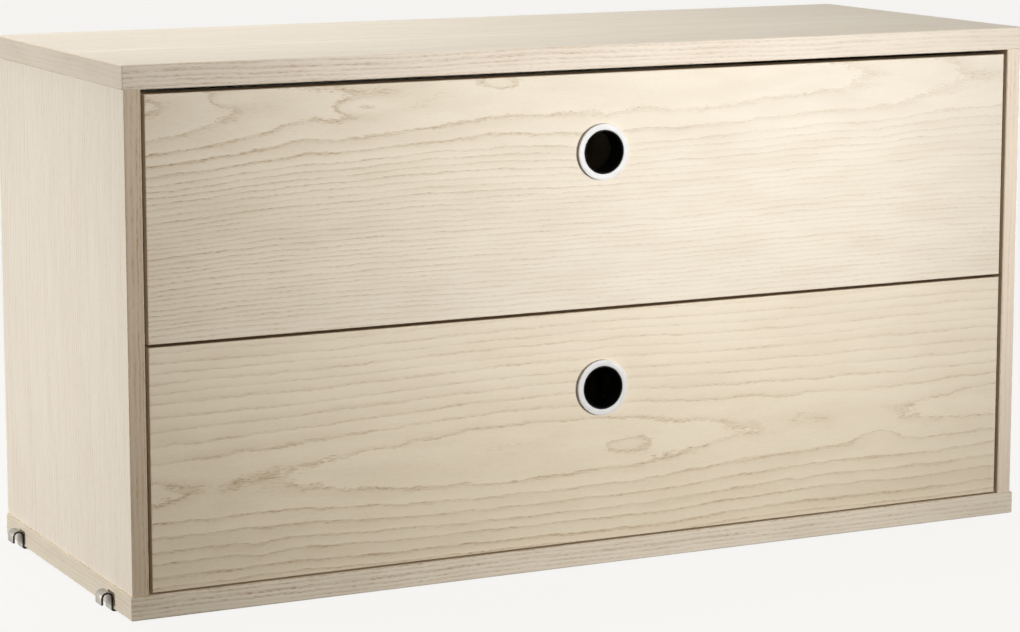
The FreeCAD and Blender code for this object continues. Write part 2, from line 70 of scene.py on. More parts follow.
def colour(code):
    """An sRGB hex colour as linear values."""
    parts = [int(code[i:i + 2], 16) / 255 for i in (1, 3, 5)]
    return [p / 12.92 if p <= 0.04045 else ((p + 0.055) / 1.055) ** 2.4 for p in parts] + [1]


def add(tree, kind, sources=(), out=0, **settings):
    """Add one node with its settings and what feeds it, and return one of its outputs."""
    node = tree.nodes.new("ShaderNode" + kind)
    for field, value in settings.items():
        setattr(node, field, value)
    pairs = sources.items() if isinstance(sources, dict) else enumerate(sources)
    for socket, source in pairs:
        if isinstance(source, bpy.types.NodeSocket):
            tree.links.new(source, node.inputs[socket])
        elif source is not None:
            node.inputs[socket].default_value = source
    return node.outputs[out] if node.outputs else None


def new_material(name):
    """An empty material's node tree."""
    made = bpy.data.materials.new(name)
    made.use_nodes = True
    made.node_tree.nodes.clear()
    return made.node_tree


def show(tree, surface):
    """Make a shader the material's surface, and return the material."""
    add(tree, "OutputMaterial", [surface])
    return next(made for made in bpy.data.materials if made.node_tree == tree)


def in_millimetres(tree):
    """The point on the piece, in millimetres."""
    spot = add(tree, "TexCoord", out="Object")
    return add(tree, "VectorMath", [spot, None, None, 1000], operation="SCALE")


def streaks(tree, spot, length, width, detail=1.0, rough=0.5):
    """Noise from -1 to 1 that changes over a length along the grain and a width across it, in mm."""
    drawn = add(tree, "VectorMath", [spot, (1 / length, 1 / width, 1)], operation="MULTIPLY")
    cloudy = add(tree, "TexNoise", {
        "Vector": drawn, "Scale": 1.0, "Detail": detail, "Roughness": rough,
    })
    return add(tree, "Math", [cloudy, 2.0, -1.0], operation="MULTIPLY_ADD")


def faces_along(tree, way, least):
    """1 where the surface faces along a way, to one side or the other, and 0 elsewhere."""
    turned = add(tree, "TexCoord", out="Normal")
    turned = add(tree, "VectorMath", [turned], operation="ABSOLUTE")
    facing = add(tree, "VectorMath", [turned, way], out="Value", operation="DOT_PRODUCT")
    return add(tree, "Math", [facing, least], operation="GREATER_THAN")


# ash veneer, knife-cut from the log, sanded and given a clear matt lacquer: pale cream wood with
# darker porous lines where each year's growth begins, wide apart where the knife passed near the
# heart and close together beside it

def figure(centre, depth, spacing, swing, ripple, closing=0.0):
    """A veneer's figure, in mm: across which point the log's heart line runs, how deep it lies and
    how far apart the years are, how much the depth swings and the lines ripple, and how much
    closer together the years come with age."""
    return {"centre": centre, "depth": depth, "spacing": spacing, "swing": swing, "ripple": ripple,
            "closing": closing}


def lay_grain(tree, ways, seed):
    """Where the board shows its face and its ends, and each point's place across and in the grain."""
    long, cross, thick = ways
    point = in_millimetres(tree)
    on_face = faces_along(tree, thick, 0.72)
    on_end = faces_along(tree, long, 0.72)
    along = add(tree, "Mix", {0: on_end, 4: long, 5: cross}, out=1, data_type="VECTOR")
    along = add(tree, "VectorMath", [point, along], out="Value", operation="DOT_PRODUCT")
    across = add(tree, "Mix", {0: on_face, 4: thick, 5: cross}, out=1, data_type="VECTOR")
    across = add(tree, "VectorMath", [point, across], out="Value", operation="DOT_PRODUCT")
    return on_face, on_end, across, add(tree, "CombineXYZ", [along, across, seed])


def count_years(tree, across, spot, part, eyes, seed):
    """The years from the log's heart line to each point, and how steeply they meet the surface."""
    sway = streaks(tree, spot, 260, 400)
    middle = add(tree, "Math", [sway, 6.0, part["centre"]], operation="MULTIPLY_ADD")
    beside = add(tree, "Math", [across, middle], operation="SUBTRACT")
    swell = streaks(tree, spot, 95, 60, 1.5)
    deep = add(tree, "Math", [swell, part["swing"], part["depth"]], operation="MULTIPLY_ADD")

    # eyes, where the log bulged or dipped under the knife
    for eye_along, eye_across, eye_long, eye_high, rise in eyes:
        off = add(tree, "VectorMath", [spot, (eye_along, eye_across, seed)], operation="SUBTRACT")
        off = add(tree, "VectorMath", [off, (1 / eye_long, 1 / eye_high, 0)], operation="MULTIPLY")
        far = add(tree, "VectorMath", [off, off], out="Value", operation="DOT_PRODUCT")
        bell = add(tree, "Math", [math.exp(-1), far], operation="POWER")
        deep = add(tree, "Math", [bell, rise, deep], operation="MULTIPLY_ADD")

    flat = add(tree, "CombineXYZ", [beside, deep])
    radius = add(tree, "VectorMath", [flat], out="Value", operation="LENGTH")
    slant = add(tree, "Math", [beside, radius], operation="DIVIDE")
    slant = add(tree, "Math", [slant], operation="ABSOLUTE")
    slant = add(tree, "Math", [slant, 0.3], operation="MAXIMUM")

    # the lines ripple, and shake most where they meet the surface steeply
    wave = streaks(tree, spot, 26, 11, 2.0)
    radius = add(tree, "Math", [wave, part["ripple"], radius], operation="MULTIPLY_ADD")
    tremor = streaks(tree, spot, 5, 1.2, 2.0, 0.7)
    tremor = add(tree, "Math", [tremor, slant], operation="DIVIDE")
    radius = add(tree, "Math", [tremor, 0.35, radius], operation="MULTIPLY_ADD")
    years = add(tree, "Math", [radius, part["spacing"]], operation="DIVIDE")

    # from 12 mm outside the middle of the figure, good and poor seasons space the lines unevenly
    older = add(tree, "Math", [radius, part["depth"]], operation="SUBTRACT")
    older = add(tree, "Math", [older, -12.0], operation="ADD")
    older = add(tree, "Math", [older, 0.0], operation="MAXIMUM")
    season = add(tree, "Math", [years, 0.3], operation="MULTIPLY")
    season = add(tree, "TexNoise", {"W": season, "Scale": 1.0, "Detail": 1.0}, noise_dimensions="1D")
    season = add(tree, "Math", [season, 0.5], operation="SUBTRACT")
    mature = add(tree, "MapRange", [older, 0.0, 20.0, 0.0, 1.2])
    years = add(tree, "Math", [season, mature, years], operation="MULTIPLY_ADD")
    years = add(tree, "Math", [older, part["closing"], years], operation="MULTIPLY_ADD")
    return years, slant


def draw_years(tree, years, slant, spacing, spot, seed):
    """The line at each year's start, and the soft shade that follows it."""
    share = add(tree, "Math", [years], operation="FRACT")
    year = add(tree, "Math", [years], operation="FLOOR")
    year = add(tree, "Math", [year, seed], operation="ADD")

    # some years are stronger than others, and each is worn away in places
    luck = add(tree, "TexWhiteNoise", {"W": year}, noise_dimensions="1D")
    luck = add(tree, "Math", [luck, 0.6, 0.5], operation="MULTIPLY_ADD")
    worn = streaks(tree, spot, 42, 4, 2.0)
    worn = add(tree, "MapRange", [worn, -0.35, 0.3, 0.4, 1.2], interpolation_type="SMOOTHSTEP")
    luck = add(tree, "Math", [luck, worn], operation="MULTIPLY")

    # a line sets in over 0.7 mm and fades over 2.8 mm, and is little wider in the eyes
    slant = add(tree, "Math", [slant, 0.6], operation="POWER")
    wide = add(tree, "Math", [spacing, slant], operation="DIVIDE")
    past = add(tree, "Math", [share, wide], operation="MULTIPLY")
    ahead = add(tree, "Math", [wide, past], operation="SUBTRACT")
    start = add(tree, "MapRange", [ahead, 0.0, 0.7, 1.0, 0.0], interpolation_type="SMOOTHSTEP")
    fade = add(tree, "MapRange", [past, 0.0, 2.8, 1.0, 0.0], interpolation_type="SMOOTHERSTEP")
    line = add(tree, "Math", [start, fade], operation="MAXIMUM")
    line = add(tree, "Math", [line, luck], operation="MULTIPLY")
    shade = add(tree, "MapRange", [past, 0.0, 8.0, 0.1, 0.0], interpolation_type="SMOOTHSTEP")
    return line, shade


def veneer(name, ways, face, edge, seed, eyes=(), painted_sheen_bold=(0.0, 0.0, 1.0), pale="#E9E1D1",
           honey="#E9DEC9", band="#C8B497", dark="#A5875A", band_dark="#A5875A"):
    """Veneer on a board, with one figure on its face and another on its edges.

    The ways are those along the grain, across it and through the board. An eye is its place along
    and across, its length and height, and how much deeper the heart line lies there, in mm. Bold is
    the painted sheen and shade: the change in the lines' strength for each mm along and across, and
    their strength at 0, 0, weakening the lines and paling the colour where the board is lit brightly
    and strengthening them where it lies in shade.
    """
    tree = new_material(name)
    on_face, on_end, across, spot = lay_grain(tree, ways, seed)
    part = {
        key: add(tree, "Math", [on_face, face[key] - edge[key], edge[key]], operation="MULTIPLY_ADD")
        for key in face
    }
    years, slant = count_years(tree, across, spot, part, eyes, seed)
    line, shade = draw_years(tree, years, slant, part["spacing"], spot, seed)

    # pores are 0.2 mm wide, and are drawn as strokes of 0.6 mm so that they show
    grains = streaks(tree, spot, 5, 0.6)
    pores = add(tree, "MapRange", [grains, -0.1, 0.4, 0.0, 1.0], interpolation_type="SMOOTHSTEP")
    porous = add(tree, "Math", [line, 0.36, 0.07], operation="MULTIPLY_ADD")
    pored = add(tree, "Math", [pores, porous], operation="MULTIPLY")

    # how strongly the lines, their pores and their shade show
    ink = add(tree, "Math", [line, 0.21, pored], operation="MULTIPLY_ADD")
    ink = add(tree, "Math", [ink, shade], operation="ADD")
    # painted sheen and shade: the lines weaken towards where the board is lit brightly and grow
    # stronger towards where it lies in shade
    slope = (painted_sheen_bold[0], painted_sheen_bold[1], 0)
    painted_sheen_vigour = add(tree, "VectorMath", [spot, slope], out="Value", operation="DOT_PRODUCT")
    painted_sheen_vigour = add(tree, "Math", [painted_sheen_vigour, painted_sheen_bold[2]], operation="ADD")
    painted_sheen_vigour = add(tree, "Clamp", [painted_sheen_vigour, 0.45, 1.4])
    ink = add(tree, "Math", [ink, painted_sheen_vigour], operation="MULTIPLY")
    plain = add(tree, "Math", [on_end, -0.6, 1.0], operation="MULTIPLY_ADD")
    ink = add(tree, "Math", [ink, plain], operation="MULTIPLY")
    blush = streaks(tree, spot, 70, 16, 2.0)
    blush = add(tree, "MapRange", [blush, -0.3, 0.5, 0.0, 0.09], interpolation_type="SMOOTHSTEP")
    ink = add(tree, "Math", [ink, blush], operation="ADD")

    # painted sheen: the colour turns pale where the lines weaken, and honey where they are strong
    clear = add(tree, "Mix", {0: painted_sheen_vigour, 6: colour(pale), 7: colour(honey)}, out=2, data_type="RGBA")
    clear = add(tree, "Mix", {0: on_face, 6: colour(band), 7: clear}, out=2, data_type="RGBA")
    inked = add(tree, "Mix", {0: on_face, 6: colour(band_dark), 7: colour(dark)}, out=2,
                data_type="RGBA")
    wood = add(tree, "Mix", {0: ink, 6: clear, 7: inked}, out=2, data_type="RGBA")

    # fine fibres and slow clouds in the tone, and painted shade that darkens the short ends
    fibre = streaks(tree, spot, 38, 0.8, 2.0)
    cloud = streaks(tree, spot, 160, 34, 2.0)
    level = add(tree, "Math", [fibre, 0.03, 1.0], operation="MULTIPLY_ADD")
    level = add(tree, "Math", [cloud, 0.035, level], operation="MULTIPLY_ADD")
    # painted shade: the short ends are darkened by 12%
    level = add(tree, "Math", [on_end, -0.12, level], operation="MULTIPLY_ADD")
    wood = add(tree, "VectorMath", [wood, None, None, level], operation="SCALE")
    hollow = add(tree, "Math", [1.0, pored], operation="SUBTRACT")
    bump = add(tree, "Bump", {"Strength": 0.1, "Distance": 0.00005, "Height": hollow})
    return show(tree, add(tree, "BsdfPrincipled", {
        "Base Color": wood, "Roughness": 0.62, "IOR": 1.38, "Normal": bump,
    }))


# birch plywood, peeled and glued in nine plies, lacquered: pale face with faint long waves, and
# edges that show a light and a darker ply in turn

PLY = 12 / 9


def plywood(name, long, thick, board, seed):
    """Plywood whose face grain runs along one way, and whose edges show its plies."""
    tree = new_material(name)
    point = in_millimetres(tree)
    on_face = faces_along(tree, thick, 0.7)
    along = add(tree, "VectorMath", [point, long], out="Value", operation="DOT_PRODUCT")
    side = Vector((1, 1, 1)) - long - thick
    across = add(tree, "VectorMath", [point, side], out="Value", operation="DOT_PRODUCT")
    through = add(tree, "VectorMath", [point, thick], out="Value", operation="DOT_PRODUCT")
    spot = add(tree, "CombineXYZ", [along, across, seed])
    wave = streaks(tree, spot, 140, 18, 2.0)
    fibre = streaks(tree, spot, 22, 0.7, 2.0)
    face = add(tree, "Math", [wave, 0.045, 1.0], operation="MULTIPLY_ADD")
    face = add(tree, "Math", [fibre, 0.03, face], operation="MULTIPLY_ADD")
    inward = add(tree, "Math", [through, middle_of(board).dot(thick)], operation="SUBTRACT")
    ply = add(tree, "Math", [inward, 1 / PLY, 0.5], operation="MULTIPLY_ADD")
    turn = add(tree, "Math", [ply], operation="FLOOR")
    turn = add(tree, "Math", [turn, 2.0], operation="FLOORED_MODULO")
    edge_spot = add(tree, "CombineXYZ", [along, across, ply])
    coarse = streaks(tree, edge_spot, 2.5, 2.5, 2.0)
    edge = add(tree, "Math", [turn, -0.16, 0.94], operation="MULTIPLY_ADD")
    edge = add(tree, "Math", [coarse, 0.05, edge], operation="MULTIPLY_ADD")
    level = add(tree, "Mix", {0: on_face, 2: edge, 3: face}, data_type="FLOAT")
    wood = add(tree, "VectorMath", [colour("#E6DAC4")[:3], None, None, level], operation="SCALE")
    bump = add(tree, "Bump", {"Strength": 0.2, "Distance": 0.00004, "Height": fibre})
    return show(tree, add(tree, "BsdfPrincipled", {
        "Base Color": wood, "Roughness": 0.5, "IOR": 1.48, "Normal": bump,
    }))


# melamine foil pressed on board: even colour with a fine pearl grain that scatters the shine

def foil(name, code, roughness):
    """Foil of one colour, whose tone wanders a little over the board."""
    tree = new_material(name)
    point = in_millimetres(tree)

    # pearls of 0.6 mm, and tones that wander over 80 mm
    pearl = add(tree, "TexNoise", {"Vector": point, "Scale": 1.6, "Detail": 2.0})
    patch = add(tree, "TexNoise", {"Vector": point, "Scale": 0.012, "Detail": 2.0})
    level = add(tree, "MapRange", [patch, 0.3, 0.7, 0.97, 1.02])
    tone = add(tree, "VectorMath", [colour(code)[:3], None, None, level], operation="SCALE")
    bump = add(tree, "Bump", {"Strength": 0.12, "Distance": 0.00005, "Height": pearl})
    return show(tree, add(tree, "BsdfPrincipled", {
        "Base Color": tone, "Roughness": roughness, "IOR": 1.5, "Normal": bump,
    }))


# polypropylene, injection moulded in a finely eroded tool: even colour, a soft shine broken by
# a shallow grain of a third of a millimetre

def moulded(name, code, roughness, grain, gloss=0.5):
    """Moulded plastic, with how strongly its grain and its gloss show."""
    tree = new_material(name)
    point = in_millimetres(tree)
    eroded = add(tree, "TexNoise", {"Vector": point, "Scale": 3.0, "Detail": 2.0})
    flow = add(tree, "TexNoise", {"Vector": point, "Scale": 0.05, "Detail": 1.0})
    shine = add(tree, "MapRange", [flow, 0.3, 0.7, roughness - 0.03, roughness + 0.04])
    bump = add(tree, "Bump", {"Strength": grain, "Distance": 0.00004, "Height": eroded})
    return show(tree, add(tree, "BsdfPrincipled", {
        "Base Color": colour(code), "Roughness": shine, "IOR": 1.49, "Specular IOR Level": gloss,
        "Normal": bump,
    }))


# steel, rolled to strip and zinc plated: a silvery grey with faint lines along the rolling and
# slightly cloudy patches from the bath, and faces square to Y that can be darkened as a painted dark
# reflection

def rolled_steel(name, code, roughness, way, clouds, painted_edge_level=1.0):
    """Steel rolled along a way, with its clouds and how bright its faces square to Y stay under a
    painted dark reflection.
    """
    tree = new_material(name)
    point = in_millimetres(tree)

    # the lines are 0.7 mm wide and 25 mm long, and the clouds spread over 11 mm
    ends = [1.4 - 1.36 * abs(part) for part in way]
    drawn = add(tree, "VectorMath", [point, ends], operation="MULTIPLY")
    lines = add(tree, "TexNoise", {"Vector": drawn, "Scale": 1.0, "Detail": 3.0})
    bath = add(tree, "TexNoise", {"Vector": point, "Scale": 0.09, "Detail": 3.0})
    level = add(tree, "MapRange", [bath, 0.3, 0.7, 1 - clouds, 1 + clouds / 2])
    turned = add(tree, "TexCoord", out="Normal")
    # painted reflection: faces square to Y are darkened down to the given level, standing for dark
    # studio reflections
    painted_dark_edges = add(tree, "VectorMath", [turned, Y], out="Value", operation="DOT_PRODUCT")
    painted_dark_edges = add(tree, "Math", [painted_dark_edges], operation="ABSOLUTE")
    painted_dark_edges = add(tree, "MapRange", [painted_dark_edges, 0.5, 0.9, 1.0, painted_edge_level])
    level = add(tree, "Math", [level, painted_dark_edges], operation="MULTIPLY")
    tone = add(tree, "VectorMath", [colour(code)[:3], None, None, level], operation="SCALE")
    shine = add(tree, "MapRange", [lines, 0.3, 0.7, roughness - 0.05, roughness + 0.07])
    bump = add(tree, "Bump", {"Strength": 0.15, "Distance": 0.00003, "Height": lines})
    return show(tree, add(tree, "BsdfPrincipled", {
        "Base Color": tone, "Metallic": 1.0, "Roughness": shine, "Normal": bump,
    }))


# beech, sawn and left raw: pinkish tan with short dark flecks along the grain

def raw_beech(name):
    """Beech whose grain runs along Y, with flecks 5 mm long and 0.8 mm wide."""
    tree = new_material(name)
    point = in_millimetres(tree)
    drawn = add(tree, "VectorMath", [point, (1.2, 0.2, 1.2)], operation="MULTIPLY")
    flecks = add(tree, "TexNoise", {"Vector": drawn, "Scale": 1.0, "Detail": 2.0})
    fleck = add(tree, "MapRange", [flecks, 0.6, 0.72, 0.0, 0.5])
    wood = add(tree, "Mix", {0: fleck, 6: colour("#CBAA83"), 7: colour("#9C7A58")}, out=2,
               data_type="RGBA")
    return show(tree, add(tree, "BsdfPrincipled", {"Base Color": wood, "Roughness": 0.75}))


FLAT, UPRIGHT, FACING = (X, Y, Z), (Z, Y, X), (X, Z, Y)
EDGES = figure(-210, 30, 3.3, 1.5, 0.9)

MATERIALS = {
    "upper_front": veneer(
        "ash veneer lacquered upper front", FACING, figure(375, 60, 5.2, 2.4, 1.3, 0.09), EDGES, 3.1,
        eyes=(
            (-430, 375, 150, 200, -15), (-198, 366, 60, 34, -2.5), (-198, 371, 20, 5, 6),
            (-308, 381, 14, 4, 5), (-88, 384, 30, 8, 4), (420, 375, 160, 120, 9),
        ), painted_sheen_bold=(-0.0014, 0.002, -0.02),
    ),
    "lower_front": veneer(
        "ash veneer lacquered lower front", FACING, figure(97, 46.5, 7.07, 2.2, 1.6), EDGES, 7.7,
        eyes=(
            (-60, 97, 200, 90, -10), (-270, 90, 70, 40, -1.0), (-400, 88, 45, 20, -6),
            (15, 95, 36, 9, 6), (258, 80, 22, 7, 5), (-290, 45, 14, 8, -5),
            (410, 104, 140, 24, -9),
        ), painted_sheen_bold=(-0.0004, -0.0038, 1.24), pale="#EADFCC", honey="#E9DCC3",
    ),
    "top": veneer(
        "ash veneer lacquered top", FLAT, figure(-30, 46, 6, 2.4, 1.2), figure(330, 30, 3.4, 1.5, 0.9),
        11.3, painted_sheen_bold=(-0.001, 0.0, 0.85), pale="#EDE6DA", honey="#EDE6DA", band="#E8DDCD",
        dark="#C4B08F",
    ),
    "base": veneer(
        "ash veneer lacquered base", FLAT, figure(20, 46, 6, 2.4, 1.2), figure(-60, 30, 3.4, 1.5, 0.9),
        17.9, painted_sheen_bold=(-0.0007, 0.0, 0.95), band="#F0E6D3",
    ),
    # painted shade: the left side's edge band is darker than the same banding on the right side
    "left_side": veneer(
        "ash veneer lacquered left side", UPRIGHT, figure(260, 80, 4.2, 3, 1.2),
        figure(-450, 30, 3.2, 1.5, 0.9), 23.3, pale="#EDE5D9", honey="#EDE5D9", band="#D1C1AB",
        dark="#CDBD9F",
    ),
    # painted light: the right side's edge band and its lines are paler than the same banding on the
    # left side
    "right_side": veneer(
        "ash veneer lacquered right side", UPRIGHT, figure(240, 80, 4.2, 3, 1.2),
        figure(450, 30, 3.2, 1.5, 0.9), 31.7, pale="#EDE5D9", honey="#EDE5D9", band="#EDDECB",
        dark="#CDBD9F", band_dark="#D3C1A6",
    ),
    "back": foil("melamine foil on fibreboard back", "#DCD2BF", 0.55),
    "left_box": plywood(
        "birch plywood lacquered left board", Y, X, "upper_drawer_left_side", 41.9,
    ),
    "right_box": plywood(
        "birch plywood lacquered right board", Y, X, "upper_drawer_right_side", 42.3,
    ),
    "rear_box": plywood("birch plywood lacquered rear board", X, Y, "upper_drawer_back", 43.9),
    "bottom": foil("melamine foil drawer bottom", "#E9E5DC", 0.45),
    "tongue": raw_beech("beech sawn"),
    "ring": moulded("polypropylene moulded white", "#D4D3D0", 0.45, 0.08),
    "sleeve": moulded("polypropylene moulded black", "#0B0B0C", 0.55, 0.2, 0.1),
    # hooks come dull from the bath, rolled runners keep a sheen, and polished balls mirror
    # the hook's faces square to Y are darkened to 12%, a painted dark reflection
    "hook": rolled_steel("steel bent zinc plated", "#A9A59D", 0.5, X, 0.06, 0.12),
    "screw": rolled_steel("steel cold headed zinc plated", "#C4C2BC", 0.3, Z, 0.05),
    "runner": rolled_steel("steel cold rolled zinc plated", "#B9BDC0", 0.33, Y, 0.08),
    "cage": rolled_steel("steel strip bright", "#ABAEB1", 0.3, Y, 0.04),
    "ball": rolled_steel("bearing steel polished", "#CBCDD0", 0.12, Z, 0.01),
}

NODE_MATERIALS = {
    "top_panel": "top", "bottom_panel": "base", "left_side_panel": "left_side",
    "right_side_panel": "right_side", "back_panel": "back", "carcass_tongues": "tongue",
    "hook_screws": "screw",
}
ENDINGS = {
    "_hook": "hook", "_member": "runner", "_cage": "cage", "_balls": "ball", "_ring": "ring",
    "_sleeve": "sleeve", "_drawer_bottom": "bottom", "_drawer_back": "rear_box",
    "_left_side": "left_box", "_right_side": "right_box", "upper_drawer_front": "upper_front",
    "lower_drawer_front": "lower_front",
}


def node_material(node):
    """The material of a node, by its own name or by how its name ends."""
    ends = (key for ending, key in ENDINGS.items() if node.endswith(ending))
    return MATERIALS[NODE_MATERIALS.get(node) or next(ends)]


for node_name, piece in frame["nodes"].items():
    piece.data.materials.clear()
    piece.data.materials.append(node_material(node_name))

NODE_BODIES = {
    node: body for body, nodes in frame["record"]["behaviour"]["bodies"].items() for node in nodes
}


# shapes

def finish_piece(name, shape, node, hides=True, body=None):
    """Turn a shape in millimetres into a piece with a node's finish, on a body."""
    mesh = bpy.data.meshes.new(name)
    bmesh.ops.scale(shape, vec=(MM, MM, MM), verts=shape.verts)
    shape.to_mesh(mesh)
    shape.free()
    mesh.shade_smooth()
    mesh.set_sharp_from_angle(angle=math.radians(32))
    mesh.materials.append(node_material(node))
    piece = bpy.data.objects.new(name, mesh)
    bpy.context.scene.collection.objects.link(piece)
    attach(piece, body or NODE_BODIES[node])
    if hides:
        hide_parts(node)


def outline(corners):
    """A closed line through corners, each given across, along and the radius that rounds it."""
    shape = bmesh.new()
    verts = [shape.verts.new((across, along, 0)) for across, along, _ in corners]
    for before, after in zip(verts, verts[1:] + verts[:1]):
        shape.edges.new((before, after))
    for vert, (_, _, radius) in zip(verts, corners):
        if radius:
            bmesh.ops.bevel(
                shape, geom=[vert], offset=radius, offset_type="OFFSET", segments=4, profile=0.5,
                affect="VERTICES", material=-1,
            )
    return shape


def turn(shape, level):
    """Spin an outline about the fore-and-aft line, and lift it to a level."""
    bmesh.ops.spin(
        shape, geom=shape.verts[:] + shape.edges[:], cent=(0, 0, 0), axis=Y, angle=math.tau,
        steps=96, use_merge=True,
    )
    bmesh.ops.recalc_face_normals(shape, faces=shape.faces)
    bmesh.ops.translate(shape, vec=(0, 0, level), verts=shape.verts)


def copies(part, places):
    """A shape that holds a copy of a part at each place, given as a matrix."""
    shape = bmesh.new()
    mesh = bpy.data.meshes.new("part")
    part.to_mesh(mesh)
    part.free()
    for place in places:
        before = len(shape.verts)
        shape.from_mesh(mesh)
        shape.verts.ensure_lookup_table()
        bmesh.ops.transform(shape, matrix=place, verts=shape.verts[before:])
    bpy.data.meshes.remove(mesh)
    return shape


def softened(node, width, segments=2, sharp=40):
    """A copy of a node whose sharp edges are rounded by a width."""
    shape = bmesh.new()
    shape.from_mesh(frame["nodes"][node].data)
    bmesh.ops.scale(shape, vec=(1 / MM, 1 / MM, 1 / MM), verts=shape.verts)
    bmesh.ops.remove_doubles(shape, verts=shape.verts, dist=0.002)
    bmesh.ops.dissolve_limit(
        shape, angle_limit=math.radians(1), verts=shape.verts, edges=shape.edges,
    )
    edges = [
        edge for edge in shape.edges
        if edge.is_manifold and edge.calc_face_angle() > math.radians(sharp)
    ]
    bmesh.ops.bevel(
        shape, geom=edges, offset=width, offset_type="OFFSET", segments=segments, profile=0.5,
        affect="EDGES", clamp_overlap=True, material=-1,
    )
    return shape


# screws with a cross recess

def grow_rim(shape, width, depth):
    """Widen the open rim of a shape by a factor and push it along, with a wall in between."""
    rim = [edge for edge in shape.edges if edge.is_boundary]
    wall = bmesh.ops.extrude_edge_only(shape, edges=rim)["geom"]
    wall = [part for part in wall if isinstance(part, bmesh.types.BMVert)]
    bmesh.ops.translate(shape, vec=(0, 0, depth), verts=wall)
    bmesh.ops.scale(shape, vec=(width, width, 1), verts=wall)


def screw_shape(head, dome, sink, shank, length):
    """A screw whose face is at the origin and whose shank points along +Z, in millimetres.

    Its sizes are the head's radius, how far its rim lies below its face, the depth of the cone
    under it, the shank's radius and the whole length.
    """
    shape = bmesh.new()
    bmesh.ops.create_grid(shape, x_segments=5, y_segments=5, size=1)

    # the grid's lines are moved to the rim, the ends of the cross and the sides of its arms
    lines = (-1, -0.52, -0.16, 0.16, 0.52, 1)
    for vert in shape.verts:
        steps = [lines[round((part + 1) * 2.5)] for part in vert.co[:2]]
        rim = max(abs(step) for step in steps) > 0.9
        flat = Vector(steps).normalized() if rim else Vector(steps)
        vert.co = (flat.x * head, flat.y * head, dome if rim else 0)

    # the cross recess narrows as it goes down
    cross = [
        face for face in shape.faces
        if min(abs(part) for part in face.calc_center_median()[:2]) < 0.1 * head
        and face.calc_center_median().length < 0.5 * head
    ]
    sunk = bmesh.ops.extrude_face_region(shape, geom=cross)["geom"]
    sunk = [part for part in sunk if isinstance(part, bmesh.types.BMVert)]
    bmesh.ops.delete(shape, geom=cross, context="FACES")
    bmesh.ops.translate(shape, vec=(0, 0, 0.45 * head), verts=sunk)
    bmesh.ops.scale(shape, vec=(0.72, 0.72, 1), verts=sunk)

    # the head's edge, its cone and the shank
    brim = 0.15
    grow_rim(shape, 1, brim)
    grow_rim(shape, shank / head, sink)
    grow_rim(shape, 1, length - dome - brim - sink)
    rim = [edge for edge in shape.edges if edge.is_boundary]
    bmesh.ops.contextual_create(shape, geom=rim)
    bmesh.ops.recalc_face_normals(shape, faces=shape.faces)
    return shape


def at(across, along, up):
    """A place in the case, in millimetres."""
    return Matrix.Translation((across, along, up))


def spun(angle, axis="Z"):
    """A turn by some degrees."""
    return Matrix.Rotation(math.radians(angle), 4, axis)


def loosely_spun(place):
    """A turn that differs from screw to screw, because it is taken from the screw's place."""
    return Matrix.Rotation(place, 4, "Z")


# finger pulls: the ring is set in the face and the sleeve is clipped through it from behind

RING_BORE = 17.1
SLEEVE_BORE, SLEEVE_TUBE, SLEEVE_FLANGE = 16, 17, 1.6


def make_pull(drawer):
    """A drawer's ring and sleeve, with softly rounded lips."""
    node = f"{drawer}_grip_ring"
    low, high = box_of(node)
    level = middle_of(node).z
    ring = outline([
        (RING_BORE, high.y, 0), (high.x, high.y, 0), (high.x, low.y, 0.5), (RING_BORE, low.y, 0.5),
    ])
    turn(ring, level)
    finish_piece(f"{drawer}_pull_ring", ring, node)

    node = f"{drawer}_grip_sleeve"
    low, high = box_of(node)
    step = high.y - SLEEVE_FLANGE
    sleeve = outline([
        (SLEEVE_BORE, low.y, 0.35), (SLEEVE_TUBE, low.y, 0.35), (SLEEVE_TUBE, step, 0),
        (high.x, step, 0.4), (high.x, high.y, 0.4), (SLEEVE_BORE, high.y, 0.4),
    ])
    turn(sleeve, level)
    finish_piece(f"{drawer}_pull_sleeve", sleeve, node)


# hooks, bent from strip and screwed under the base; each with how its screw's cross lies, in degrees

HOOKS = {"front_left": 12, "front_right": 57, "rear_left": 31, "rear_right": 78}
HOOK_SCREW_HEAD = 3.5


def make_hooks():
    """The four hooks, and a screw in the middle of each one's foot."""
    reach = box_of("hook_screws")[1].x - HOOK_SCREW_HEAD
    places = []
    for name, spin in HOOKS.items():
        hook = f"{name}_hook"
        finish_piece(f"{name}_bent_hook", softened(hook, 0.35, 2, 50), hook)
        across = -reach if "left" in name else reach
        places.append(at(across, middle_of(hook).y, 0.05) @ spun(spin))
    screw = screw_shape(HOOK_SCREW_HEAD - 0.05, 0, 1.65, 1.7, 14)
    finish_piece("base_screws", copies(screw, places), "hook_screws")


# runners: three members, two cages and rows of balls

BALL_ROWS = {"outer": 3.6, "inner": 3.2}
BALL_PITCH = 36
RUNNER_SCREW = (3.4, 0.7, 0.5, 1.7, 9)
RUNNER_SCREW_PROUD, RUNNER_SCREW_INSET = 2, 22


def make_runners(drawer):
    """Both runners of a drawer, with rolled edges, and their balls."""
    for side in SIDES:
        for part in ("case_member", "middle_member", "drawer_member"):
            node = f"{drawer}_{side}_{part}"
            finish_piece(f"{node}_rolled", softened(node, 0.3), node)
        for part in ("outer_cage", "inner_cage"):
            node = f"{drawer}_{side}_{part}"
            finish_piece(f"{node}_folded", softened(node, 0.15, 1), node)
        fix_runner(drawer, side)
    for row, size in BALL_ROWS.items():
        make_balls(f"{drawer}_{row}", size)


